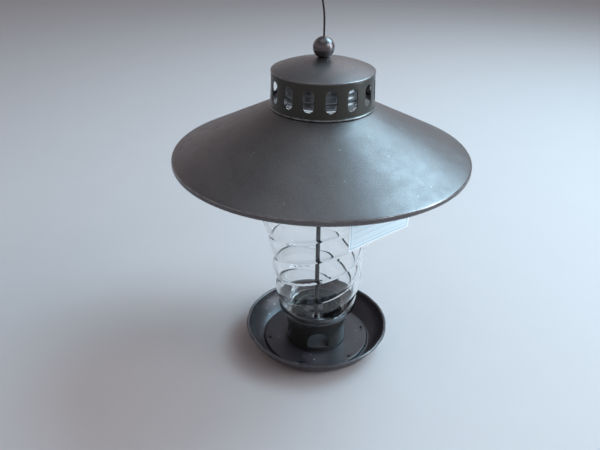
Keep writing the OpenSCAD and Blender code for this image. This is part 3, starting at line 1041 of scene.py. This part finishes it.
@dataclass
class GlassJar:
    """The clear jar: swirled flutes climb from the bowl to the shoulder, beads ring the neck.

    Fields that need words:
        foot_grip, bowl_turn: Heights of the straight foot and of the bowl that rounds out of it.
        swell, fall: Outline up to the belly and from there, as shares of height and radius.
        fullness: 1 for swells like a sine, less for fuller ones.
        swirl_start: Height of the groove on the right-hand side.
        strengths: Shares of the full swirl at the stops of its fade.
        soft: Roundness of its grooves outside and in the bore, 0 for sharp ones.
        fade: Where it is still strong above the belly, and where it is gone below the neck.
        bore_bead: Share of the beads that shows in the bore.
        plain: Plain glass below and above the beads.
    """

    foot_grip: float = 7.6
    foot_radius: float = 32.1
    bowl_radius: float = 43.5
    bowl_turn: float = 18.0
    belly_radius: float = 65.8
    belly_height: float = 169.0
    neck_radius: float = 34.0
    mouth_radius: float = 31.5
    neck_height: float = 36.0
    swell: tuple[Point, ...] = (
        (0, 0), (0.22, 0.17), (0.44, 0.31), (0.64, 0.6), (0.82, 0.88), (1, 1)
    )
    fall: tuple[Point, ...] = ((0.4, 0.14), (0.72, 0.56), (1, 1))
    glass: float = 2.6
    starts: int = 3
    pitch: float = 28.0
    depth: float = 3.6
    crown: float = 1.15
    fullness: float = 0.84
    swirl_start: float = 8.6
    strengths: tuple[float, ...] = (0, 0.6, 1.1, 0.88, 0.82, 0)
    soft: Point = (0.003, 0.006)
    fade: Point = (12.0, 6.0)
    beads: int = 4
    bead: float = 1.2
    bore_bead: float = 0.3
    plain: Point = (1.0, 2.0)
    neck_step: float = 0.55
    bore_step: float = 2.1
    foot_rows: tuple[float, ...] = (1.3, 3, 5, 6.6)
    bore_rows: tuple[float, ...] = (1.3, 4, 7)
    rim_steps: int = 10
    sides: int = 120

    def __post_init__(self) -> None:
        """Works out the heights, and the outline with its slopes, level at the belly."""
        extent = Extent.of("glass_jar")
        self.foot, self.height = extent.foot, extent.top - extent.foot
        self.bowl = self.foot_grip + self.bowl_turn
        self.neck = self.height - self.neck_height
        low, wide = (self.bowl, self.bowl_radius), (self.belly_height, self.belly_radius)
        self.keys = [
            (lerp(start[0], end[0], h), lerp(start[1], end[1], r))
            for start, end, shares in (
                (low, wide, self.swell), (wide, (self.neck, self.neck_radius), self.fall)
            )
            for h, r in shares
        ]
        pairs = zip(self.keys[:1] + self.keys, self.keys[1:] + self.keys[-1:])
        self.slopes = [(r1 - r0) / (h1 - h0) for (h0, r0), (h1, r1) in pairs]
        self.slopes[len(self.swell) - 1] = 0.0

    def mean(self, h: float) -> float:
        """Mean radius of the glass, without its swirl and beads.

        Args:
            h: Height above its foot.

        Returns:
            The radius.
        """
        if h <= self.foot_grip:
            return self.foot_radius
        if h < self.bowl:
            share = math.sqrt(1 - ((self.bowl - h) / self.bowl_turn) ** 2)
            return lerp(self.foot_radius, self.bowl_radius, share)
        if h >= self.neck:
            return lerp(self.neck_radius, self.mouth_radius, (h - self.neck) / self.neck_height)
        i = max(k for k, key in enumerate(self.keys[:-1]) if key[0] <= h)
        (h0, r0), (h1, r1) = self.keys[i : i + 2]
        t = (h - h0) / (h1 - h0)
        lean = lerp(self.slopes[i], -self.slopes[i + 1], t)
        return lerp(r0, r1, t * t * (3 - 2 * t)) + (h1 - h0) * t * (1 - t) * lean

    def share(self, h: float) -> float:
        """Share of the full swirl, which fades out at the bowl and the shoulder.

        Args:
            h: Height above the foot.

        Returns:
            The share.
        """
        heights = (
            self.foot_grip, self.bowl, self.bowl + self.pitch, self.bowl + 2 * self.pitch,
            self.belly_height + self.fade[0], self.neck - self.fade[1],
        )
        stops = list(zip(heights, self.strengths))
        for (h0, s0), (h1, s1) in zip(stops, stops[1:]):
            if h0 < h <= h1:
                return lerp(s0, s1, (h - h0) / (h1 - h0))
        return 0.0

    def swirl(self, turn: float, h: float, soft: float) -> float:
        """How far the swirl stands out or in.

        Args:
            turn: Turn round the rod from the right-hand side, in turns.
            h: Height above the foot.
            soft: Roundness of the grooves, 0 for sharp ones.

        Returns:
            The distance, positive outwards.
        """
        wave = math.sin(math.pi * ((h - self.swirl_start) / self.pitch - self.starts * turn))
        fall = 1 - (wave * wave + soft) ** (self.fullness / 2)
        return self.share(h) * (self.crown - self.depth * fall)

    def bead_out(self, h: float) -> float:
        """How far the neck's beads stand out at a height above the foot."""
        up = (h - self.neck - self.plain[0]) / (self.neck_height - sum(self.plain))
        return self.bead * math.hypot(math.sin(math.pi * self.beads * up), 0.1) * (0 <= up <= 1)

    def skin(self, turn: float, h: float) -> float:
        """Radius of the outside at a turn and a height."""
        return self.mean(h) + self.swirl(turn, h, self.soft[0]) + self.bead_out(h)

    def bore(self, turn: float, h: float) -> float:
        """Radius of the inside at a turn and a height, where swirl and beads are softer."""
        near = min(self.mean(h + step) for step in (0, -self.glass, self.glass)) - self.glass
        return near + self.swirl(turn, h, self.soft[1]) + self.bore_bead * self.bead_out(h)

    def ring(self, radius: Callable[[float, float], float], h: float) -> list[Point]:
        """Radius and height of every step round the glass, at a height above its foot."""
        return [(radius(j / self.sides, h), self.foot + h) for j in range(self.sides)]

    def build(self) -> None:
        """Builds the jar, with rows so high that a groove climbs by one row at each step."""
        row = self.pitch * self.starts / self.sides
        first = math.ceil((self.bowl + 0.4 - self.swirl_start) / row)
        last = math.floor((self.neck - 2 - self.swirl_start) / row)
        turn = [self.bowl - self.bowl_turn * math.cos(math.radians(a)) for a in range(9, 91, 9)]
        skin = [*self.foot_rows, self.foot_grip, *turn]
        skin += [self.swirl_start + row * k for k in range(first, last + 1)]
        count = int((self.neck_height - 1.6) / self.neck_step)
        skin += [self.neck - 1 + self.neck_step * k for k in range(count)]
        bore = [*self.bore_rows, *(h + self.glass for h in (self.foot_grip, *turn))]
        start = bore[-1] + 2
        count = int((self.height - 4 - start) / self.bore_step)
        bore += [start + self.bore_step * k for k in range(count)]
        half = self.glass / 2
        top = self.foot + self.height - half
        mouth = arc((self.mouth_radius - half, top), half, 0, 180, self.rim_steps)
        edge = arc((self.foot_radius - half, self.foot + half), half, 180, 360, self.rim_steps)
        rings = [self.ring(self.skin, h) for h in skin]
        rings += [[point] * self.sides for point in mouth]
        rings += [self.ring(self.bore, h) for h in bore[::-1]]
        rings += [[point] * self.sides for point in edge]
        shell = Skin.rings(rings, closed=True)
        shell.faces = [side for a, b, c, d in shell.faces for side in ((a, b, c), (a, c, d))]
        fit(shell.made("swirled_jar", sharp=75), Body.BASE, GLASS, "glass_jar")


@dataclass
class CentreRod:
    """The rod with its rolled threads, and the nuts and washer on it."""

    pitch: float = 0.8
    thread_depth: float = 0.42
    low_thread: float = 27.5
    high_thread: float = 12.0
    run_out: float = 1.5
    chamfer: float = 0.6
    overlap: float = 2.0
    turn_steps: int = 8
    plain_steps: int = 24
    sides: int = 32

    def build(self) -> None:
        """Builds the rod and dresses its nuts."""
        extent = Extent.of("centre_rod")
        foot, top = extent.foot, extent.top

        def cut(turn: float, z: float) -> float:
            """Radius of the rod.

            Args:
                turn: Turn round it, in turns.
                z: Height.

            Returns:
                The radius.
            """
            low, high = z - foot, top - z
            depth = self.thread_depth * abs(((z / self.pitch - turn) % 1) * 2 - 1)
            if min(low, high) < self.chamfer:
                depth = max(depth, self.chamfer - min(low, high))
            elif low > self.low_thread and high > self.high_thread:
                past = min(low - self.low_thread, high - self.high_thread)
                depth *= max(0.0, 1 - past / self.run_out)
            return extent.radius - depth

        step = self.pitch / self.turn_steps
        levels = [foot + step * k for k in range(int((self.low_thread + self.overlap) / step))]
        start, end = levels[-1], top - self.high_thread - self.overlap
        levels += [lerp(start, end, k / self.plain_steps) for k in range(1, self.plain_steps)]
        levels += [end + step * k for k in range(int((top - end) / step) + 1)]
        rings = [[(cut(j / self.sides, z), z) for j in range(self.sides)] for z in levels]
        ends = [[(0.0, z)] * self.sides for z in (foot, levels[-1])]
        rod = Skin.rings([ends[0], *rings, ends[1]]).made("threaded_rod", sharp=60)
        fit(rod, Body.BASE, SHADED_ROD, "centre_rod")
        dress(ZINC, "cone_nut", "base_nut", "base_washer")


@dataclass
class PaperCard:
    """The stiff card that stands against the glass, with a slight curl at its free end."""

    width: float = 84.0
    height: float = 50.0
    thickness: float = 0.34
    turn: float = 42.5
    curl: float = 2.2
    curl_skew: float = 0.25
    edge: float = 0.05
    flat_share: float = 0.3
    grid: tuple[int, int] = (42, 20)

    def build(self) -> None:
        """Builds the card."""
        middle = Extent.of("paper_card").middle
        turn = math.radians(self.turn)
        out = Vector((math.sin(turn), -math.cos(turn)))
        along = Vector((math.cos(turn), math.sin(turn)))
        columns, rows = self.grid
        vertices: list[Vertex] = []
        places: list[float] = []
        for i in range(columns + 1):
            for j in range(rows + 1):
                u, v = self.width * i / columns, self.height * j / rows
                free = max(0.0, u / self.width - self.flat_share) / (1 - self.flat_share)
                lift = self.curl * free * free * (1 + self.curl_skew * (v / self.height - 0.5))
                place = Vector(middle[:2]) + along * (u - self.width / 2) + out * lift
                vertices.append((place.x, place.y, middle[2] + v - self.height / 2))
                places += [u, v, 0.0]
        after = rows + 1
        corners = [i * after + j for i in range(columns) for j in range(rows)]
        faces = [(k, k + after, k + after + 1, k + 1) for k in corners]
        card = press(
            Skin(vertices, faces), "curled_card", self.thickness, Body.BASE, CARD, "paper_card",
            self.edge, offset=0,
        )
        held = card.data.attributes.new(CARD_PLACE, "FLOAT_VECTOR", "POINT")
        held.data.foreach_set("vector", places)


# Roof: cone, vent collar, lid and cap


@dataclass
class Roof:
    """The wide cone with its rolled hem, the vent collar, and the lid and cap on them."""

    sheet: float = 1.0
    hem: float = 5.05
    hem_bend: float = 1.8
    curl: float = 1.5
    foot_radius: float = 49.8
    top_radius: float = 48.5
    neck_share: float = 0.85
    shoulder_bend: float = 1.6
    neck_bend: float = 0.8
    clearance: float = 0.1
    vent_sheet: float = 0.6
    bead: float = 0.9
    bead_set: float = 0.2
    slots: int = 15
    slot_turn: float = 9.5
    slot_width: float = 10.2
    slot_height: float = 20.7
    slot_sill: float = 7.2
    slot_grid: tuple[int, int] = (48, 4)
    fine_edge: float = 0.15
    dome_edge: float = 1.2
    dome_bend: float = 0.7
    dome_hole: float = 2.9
    ring_flange: float = 3.5
    ring_bend: float = 0.6
    ring_ribs: int = 4
    ring_rib: float = 0.7
    rib_share: float = 0.2
    rib_steps: int = 12
    sides: int = 256

    def cone(self) -> None:
        """Builds the cone, from the curl in its hem to the neck inside the vent collar."""
        extent = Extent.of("roof_cone")
        shoulder = Extent.of("vent_collar").foot - self.clearance
        curl = arc((extent.radius - self.curl, extent.foot + self.curl), self.curl, -215, 0, 20)
        neck = lerp(self.top_radius, self.foot_radius, self.neck_share)
        neck -= self.sheet + self.clearance
        rise = eased(
            (*curl[-1], 0),
            (extent.radius, extent.foot + self.hem, self.hem_bend),
            (self.foot_radius, shoulder, self.shoulder_bend),
            (neck, shoulder, self.neck_bend),
            (neck, extent.top, 0),
        )
        skin = Skin.lathe(curl[:-1] + spaced(rise, 5), self.sides)
        press(skin, "spun_cone", self.sheet, Body.ROOF, BRONZE, "roof_cone")

    def vent(self) -> None:
        """Builds the vent collar with its slots and the bead pressed round its foot."""
        extent = Extent.of("vent_collar")
        foot = extent.foot
        lean = (self.top_radius - self.foot_radius) / (extent.top - foot)
        middle = (self.foot_radius + self.bead_set, foot + self.bead)
        bead = arc(middle, self.bead, -60, 78, 12)
        above = bead[-1][1] + 0.5
        radius = self.foot_radius + lean * (above - foot)
        start = [(self.foot_radius - self.bead_set, foot)] + bead
        start += [(radius + 0.05, above - 0.2), (radius + lean * 0.6, above + 0.6)]
        along = foot + self.slot_sill + self.slot_height / 2 - start[-1][1]
        straight = (self.slot_height - self.slot_width) / 2
        slots = Cutout(self.slots, self.slot_turn, along, self.slot_width / 2, straight)
        path = start + [(self.top_radius, extent.top)]
        skin = pierced(path, len(start) - 1, slots, *self.slot_grid)
        sheet, edge = self.vent_sheet, self.fine_edge
        press(skin, "slotted_collar", sheet, Body.ROOF, OLIVE, "vent_collar", edge)

    def cap(self) -> None:
        """Builds the domed cap."""
        extent = Extent.of("dome_cap")
        shoulder = extent.foot + self.dome_edge
        bulge = extent.top - shoulder
        radius = (extent.radius**2 + bulge**2) / (2 * bulge)
        half = math.degrees(math.asin(extent.radius / radius))
        hole = math.degrees(self.dome_hole / radius)
        dome = arc((0, extent.top - radius), radius, 90.5 - half, 90 - hole, 26)
        edge = eased(
            (extent.radius, extent.foot, 0),
            (extent.radius, shoulder, self.dome_bend),
            (*dome[0], 0),
        )
        skin = Skin.lathe(edge[:-1] + dome, self.sides)
        press(skin, "domed_cap", self.sheet, Body.ROOF, BRONZE, "dome_cap")

    def neck_ring(self) -> None:
        """Builds the ribbed ring under the lid, which centres the roof on the jar's neck."""
        extent = Extent.of("mouth_ring")
        radius = extent.radius - self.ring_flange
        top = extent.top - self.sheet
        step = (top - extent.foot) / self.ring_ribs / self.rib_steps
        skirt = []
        for k in range(self.rib_steps * self.ring_ribs - 1):
            wave = self.rib_share - 0.5 * math.cos(math.tau * k / self.rib_steps)
            out = self.ring_rib * max(0.0, wave) / (self.rib_share + 0.5)
            skirt.append((radius + out, extent.foot + step * k))
        flange = eased(
            (radius, top - 2, 0), (radius, top, self.ring_bend), (extent.radius, top, 0)
        )
        skin = Skin.lathe(skirt + flange[1:], self.sides)
        edge = self.fine_edge
        press(skin, "ribbed_ring", self.sheet, Body.ROOF, LINER, "mouth_ring", edge)

    def build(self) -> None:
        """Builds the roof and dresses the parts inside it."""
        self.cone()
        self.vent()
        self.cap()
        self.neck_ring()
        dress(BRONZE, "lid_plate")
        dress(BALL_BRONZE, "finial_washer")


# Finial and hanger


@dataclass
class Finial:
    """The ball threaded on the rod's top end."""

    rod_bore: float = 2.45
    wire_bore: float = 1.1
    bore_height: float = 12.0
    edge: float = 0.25
    steps: int = 48
    sides: int = 96

    def build(self) -> None:
        """Builds the ball."""
        extent = Extent.of("ball_finial")
        radius = extent.radius
        middle = extent.top - radius
        bore_top = extent.foot + self.bore_height
        low = math.degrees(math.asin((extent.foot - middle) / radius))
        high = math.degrees(math.acos(self.wire_bore / radius))
        outline = [(self.rod_bore, extent.foot)] + arc((0, middle), radius, low, high, self.steps)
        outline += [(self.wire_bore, bore_top), (self.rod_bore, bore_top)]
        ball = Skin.lathe(outline, self.sides, closed=True).made("ball", sharp=50)
        break_edges(ball, self.edge, 50)
        fit(ball, Body.FINIAL, BALL_BRONZE, "ball_finial")


@dataclass
class Hanger:
    """The formed wire that rises from the ball to its crimped hanging eye.

    Fields that need words:
        bow_bend, bow_crown: Bend radii of the long bow, at its two ends and at its crown.
        gap: Space between the two strands in the sleeve.
        eye, root: Bend radii of the eye and of its two roots.
        dents: Where the crimping tool pressed, as shares of the sleeve's length.
    """

    wire: float = 0.9
    straight: float = 12.0
    bow_bend: float = 88.0
    bow_crown: float = 60.0
    bow_turn: float = 17.0
    gap: float = 0.2
    eye: float = 9.0
    root: float = 8.0
    tail: float = 2.0
    sides: int = 20
    sleeve_length: float = 10.0
    sleeve_wall: float = 0.75
    dents: Point = (0.28, 0.72)
    dent_depth: float = 0.28
    dent_length: float = 0.07
    waist: float = 0.1
    sleeve_grid: tuple[int, int] = (40, 40)

    def run(self) -> list[Point]:
        """The wire's centre line.

        Returns:
            Across and height of each point, from the ferrule to the end of the tail.
        """
        low = Extent.of("hanger_wire").foot
        strand = 2 * self.wire + self.gap
        lean = math.degrees(math.acos((strand / 2 + self.root) / (self.eye + self.root)))
        bends = (
            (self.bow_bend, self.bow_turn, 0.0),
            (self.bow_crown, -2 * self.bow_turn, 0.0),
            (self.bow_bend, self.bow_turn, self.sleeve_length + 4 * self.wire),
            (self.root, -lean, 0.0),
            (self.eye, 180 + 2 * lean, 0.0),
            (self.root, -lean, 2 * self.wire + self.sleeve_length + self.tail),
        )
        end = Extent.of("ball_finial").top + self.straight
        path = spaced([(0.0, low), (0.0, end)], 2)
        heading = 90.0
        for radius, turn, after in bends:
            side = math.copysign(90, turn)
            middle = arc(path[-1], radius, heading + side, heading + side, 1)[0]
            start = heading - side
            path += arc(middle, radius, start, start + turn, max(6, math.ceil(abs(turn) / 4)))[1:]
            heading += turn
            if after:
                far = arc(path[-1], after, heading, heading, 1)[0]
                path += spaced([path[-1], far], 2)[1:]
        return path

    def sleeve(self) -> None:
        """Builds the crimped sleeve round the two strands."""
        extent = Extent.of("eye_sleeve")
        thick = (extent.high[1] - extent.low[1]) / 2
        straight = (extent.high[0] - extent.low[0]) / 2 - thick
        sides, rows = self.sleeve_grid
        walls: list[list[list[Vertex]]] = [[], []]
        for row in range(rows + 1):
            share = row / rows
            dent = max(math.exp(-(((share - at) / self.dent_length) ** 2)) for at in self.dents)
            insets = (self.dent_depth * dent, self.sleeve_wall)
            for wall, inset, waist in zip(walls, insets, (self.waist, 0)):
                loop = []
                r = thick - inset
                for across, out in ways_round(sides):
                    x = extent.middle[0] + r * across
                    if abs(across) > NIL:
                        x += math.copysign(straight, across)
                    y = r * (1 - waist * (1 - abs(across))) * out
                    loop.append((x, y, lerp(extent.foot, extent.top, share)))
                wall.append(loop)
        sleeve = Skin.joined(walls[0] + walls[1][::-1], closed=True)
        fit(sleeve.made("crimp_sleeve", sharp=50), Body.HANGER, ZINC, "eye_sleeve")

    def build(self) -> None:
        """Builds the wire and its sleeve, and dresses the ferrule."""
        wire = tube(self.run(), self.wire, self.sides).made("hanging_wire", sharp=60)
        fit(wire, Body.HANGER, WIRE, "hanger_wire")
        self.sleeve()
        dress(ZINC, "wire_ferrule")


# Studio


@dataclass(frozen=True)
class Lamp:
    """A soft rectangular lamp, in metres, watts and degrees, that faces the feeder's middle."""

    name: str
    place: Vertex
    size: Point
    power: float
    colour: Colour
    spread: float = 180.0
    aim: Vertex = (0, 0, 0.2)

    def hang(self) -> None:
        """Hangs the lamp."""
        light = bpy.data.lights.new(self.name, "AREA")
        light.shape = "RECTANGLE"
        light.size, light.size_y = self.size
        light.energy = self.power
        light.color = self.colour
        light.spread = math.radians(self.spread)
        lamp = placed(self.name, light)
        lamp.location = self.place
        way = Vector(self.aim) - Vector(self.place)
        lamp.rotation_euler = way.to_track_quat("-Z", "Y").to_euler()
        lamp.visible_camera = False


@dataclass
class Studio:
    """Pale floor, soft light and the camera, with its lengths in metres."""

    floor_radius: float = 7.0
    floor_sides: int = 64
    floor_drop: float = 0.00002
    floor_colour: Colour = (0.60, 0.53, 0.535)
    wall_colour: Colour = (0.52, 0.475, 0.485)
    ceiling_colour: Colour = (0.16, 0.165, 0.175)
    room_strength: float = 0.8
    camera_place: Vertex = (0.0, -0.5724, 0.468)
    camera_yaw: float = -1.993
    camera_dip: float = 29.27
    camera_roll: float = -0.618
    lens: float = 37.2
    sensor: float = 36.0
    near: float = 0.01
    lamps: tuple[Lamp, ...] = (
        Lamp("window", (1.07, 0.62, 1.52), (1.15, 1.2), 39, (0.52, 0.84, 1.0)),
        Lamp("ceiling", (-0.15, -0.1, 2.2), (1.6, 1.6), 6, (0.85, 0.97, 1.0)),
        Lamp("back", (0.39, 1.36, 1.31), (0.7, 0.9), 3, (0.95, 0.97, 1.0)),
        Lamp("front", (1.45, -0.62, 1.3), (1.6, 0.7), 11.5, (0.78, 0.92, 1.0)),
        Lamp("side", (1.8, -0.1, 0.65), (0.8, 1.2), 4.2, (0.78, 0.92, 1.0), 80),
    )

    def floor(self) -> None:
        """Lays the floor."""
        rim = arc((0, 0), self.floor_radius / MM, 0, 360, self.floor_sides)[:-1]
        points = [(x, y, -self.floor_drop / MM) for x, y in rim]
        floor = Skin(points, [tuple(range(len(rim)))]).made("floor")
        cover = bpy.data.materials.new("floor")
        nodes = Nodes(cover)
        shade = tuple(0.985 * v for v in self.floor_colour)
        colour = nodes.graded(nodes.noise(60, 3), shade, self.floor_colour)
        surface = nodes.surface(Base_Color=colour, Roughness=0.7, Specular_IOR_Level=0.2)
        nodes.node("OutputMaterial", {0: surface})
        floor.data.materials.append(cover)
        floor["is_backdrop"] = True

    def room(self) -> None:
        """Fills the room with even light, and shows a pale wall to the eye, metal and glass."""
        world = bpy.data.worlds.new("room")
        bpy.context.scene.world = world
        room = Nodes(world)
        way = room.node("TexCoord").outputs["Generated"]
        height = room.node("SeparateXYZ", {0: way}).outputs["Z"]
        wall = room.graded(height, self.wall_colour, self.ceiling_colour, (0.25, 0.85))
        rays = room.node("LightPath").outputs
        seen = rays["Is Camera Ray"]
        for ray in ("Is Glossy Ray", "Is Transmission Ray"):
            seen = room.math("MAXIMUM", seen, rays[ray])
        lit, shown = (
            room.node("Background", {0: wall, 1: strength}).outputs[0]
            for strength in (self.room_strength, 1.0)
        )
        mix = room.node("MixShader", {0: seen, 1: lit, 2: shown}).outputs[0]
        room.node("OutputWorld", {0: mix})

    def camera(self) -> None:
        """Sets up the camera."""
        yaw, dip, roll = map(math.radians, (self.camera_yaw, self.camera_dip, self.camera_roll))
        level = math.cos(dip)
        ahead = Vector((math.sin(yaw) * level, math.cos(yaw) * level, -math.sin(dip)))
        right = Vector((math.cos(yaw), -math.sin(yaw), 0))
        down = ahead.cross(right)
        across = right * math.cos(roll) + down * math.sin(roll)
        below = down * math.cos(roll) - right * math.sin(roll)
        data = bpy.data.cameras.new("camera")
        data.lens = self.lens
        data.sensor_width = self.sensor
        data.clip_start = self.near
        camera = placed("camera", data)
        axes = Matrix((across, -below, -ahead)).transposed()
        camera.matrix_world = Matrix.Translation(self.camera_place) @ axes.to_4x4()
        bpy.context.scene.camera = camera

    def build(self) -> None:
        """Lays the floor, lights the room and sets up the camera."""
        self.floor()
        self.room()
        self.camera()
        for lamp in self.lamps:
            lamp.hang()
        bpy.context.scene.view_settings.view_transform = "Standard"


def main() -> None:
    """Builds the feeder's looks, piece by piece, and writes how large it comes out."""
    logging.basicConfig(level=logging.INFO, format="%(name)s: %(message)s")
    Studio().build()
    for assembly in (
        Tray(), BaseCollar(), GlassJar(), CentreRod(), PaperCard(), Roof(), Finial(), Hanger()
    ):
        assembly.build()
    sizes = {"cad": CAD_BOUNDS, "visual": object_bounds()}
    for name, (low, high) in sizes.items():
        LOG.info("%s box: %s to %s", name, [round(v, 4) for v in low], [round(v, 4) for v in high])


if __name__ == "__main__":
    main()
